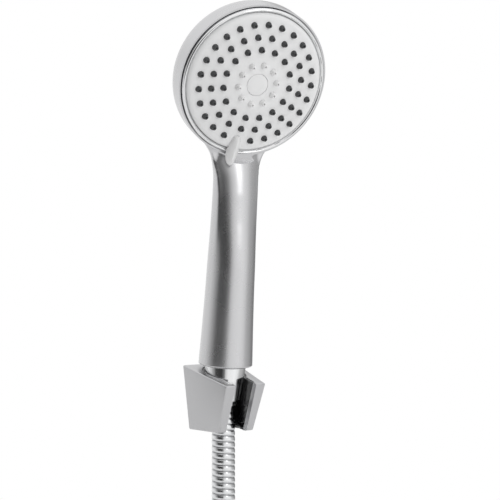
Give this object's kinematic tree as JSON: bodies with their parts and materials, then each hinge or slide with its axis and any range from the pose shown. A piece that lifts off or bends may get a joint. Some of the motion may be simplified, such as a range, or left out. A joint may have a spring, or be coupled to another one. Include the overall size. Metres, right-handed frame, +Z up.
{
  "type": "handheld shower head",
  "caption": "Handheld shower head with a turning multi-spray face, hung by its cone nut in a slotted wall holder, on a coiled metal hose.",
  "frame": {"origin": "centre of the wall holder's flat rear face, on the wall, midway between its two fixing screws", "axes": "+Z up, +Y into the wall, -Y out into the room, +X to the right for someone facing the wall"},
  "size_m": [0.1558, 0.0722, 0.4846],
  "materials": {
    "holder_metal": "matt silver, fine grained, with bright edges",
    "satin_shell": "satin metal plating on moulded ABS",
    "chrome": "polished plating",
    "rim_chrome": "polished chrome plating on moulded ABS",
    "hose_metal": "polished interlocked metal strip over a plastic lining",
    "face_plastic": "fine satin, very light grey",
    "white_plastic": "white, soft gloss",
    "nozzle_silicone": "matt dark grey silicone",
    "liner_black": "glossy black",
    "inner_plastic": "natural moulded",
    "seal_rubber": "black",
    "steel": "stainless",
    "brass": "machined",
    "tie_rubber": "dark grey, matt"
  },
  "bodies": {
    "holder": {"holder_body": "holder_metal", "seat_liner": "liner_black", "fixing_screw_upper": "steel", "fixing_screw_lower": "steel"},
    "hose_set": {"hose": "hose_metal", "hose_coil": "hose_metal", "hose_end": "hose_metal", "hose_tie_upper": "tie_rubber", "hose_tie_lower": "tie_rubber", "cone_washer": "seal_rubber", "cone_tail": "brass", "cone_ferrule": "steel", "end_washer": "seal_rubber", "end_tail": "brass", "end_ferrule": "steel"},
    "handset": {"handset_shell": "satin_shell", "water_tube": "inner_plastic", "inlet_nipple": "brass", "water_chamber": "inner_plastic", "port_seal": "seal_rubber", "port_spring": "steel", "click_spring": "steel", "cone_nut": "chrome"},
    "click_pin": {"click_pin": "steel"},
    "spray_face": {"face_plate": "face_plastic", "nozzle_mat": "nozzle_silicone", "massage_insert": "white_plastic", "diverter_plate": "inner_plastic", "centre_seal": "seal_rubber", "face_rim": "rim_chrome", "centre_screw": "steel", "centre_cap": "face_plastic", "setting_lever": "white_plastic"},
    "end_nut": {"end_nut": "chrome"}
  },
  "joints": [
    {"name": "handset_lift", "type": "slide", "parent": "holder", "child": "hose_set", "axis": [0, -0.095, 0.9955], "range_m": [0, 0.04]},
    {"name": "handset_turn", "type": "hinge", "parent": "hose_set", "child": "handset", "pos_m": [0, -0.01675, 0.01971], "axis": [0, -0.095, 0.9955], "range_deg": [-31, 59]},
    {"name": "spray_turn", "type": "hinge", "parent": "handset", "child": "spray_face", "pos_m": [-0.00394, -0.04854, 0.18524], "axis": [-0.2295, -0.895, -0.3824], "range_deg": [-30, 30]},
    {"name": "click_pin_slide", "type": "slide", "parent": "handset", "child": "click_pin", "axis": [0.2295, 0.895, 0.3824], "range_m": [0, 0.0009], "stiffness_N_per_m": 800, "springref_m": -0.001},
    {"name": "end_nut_spin", "type": "hinge", "parent": "hose_set", "child": "end_nut", "pos_m": [-0.0649, -0.06001, -0.1054], "axis": [-1, 0, 0], "continuous": true}
  ]
}
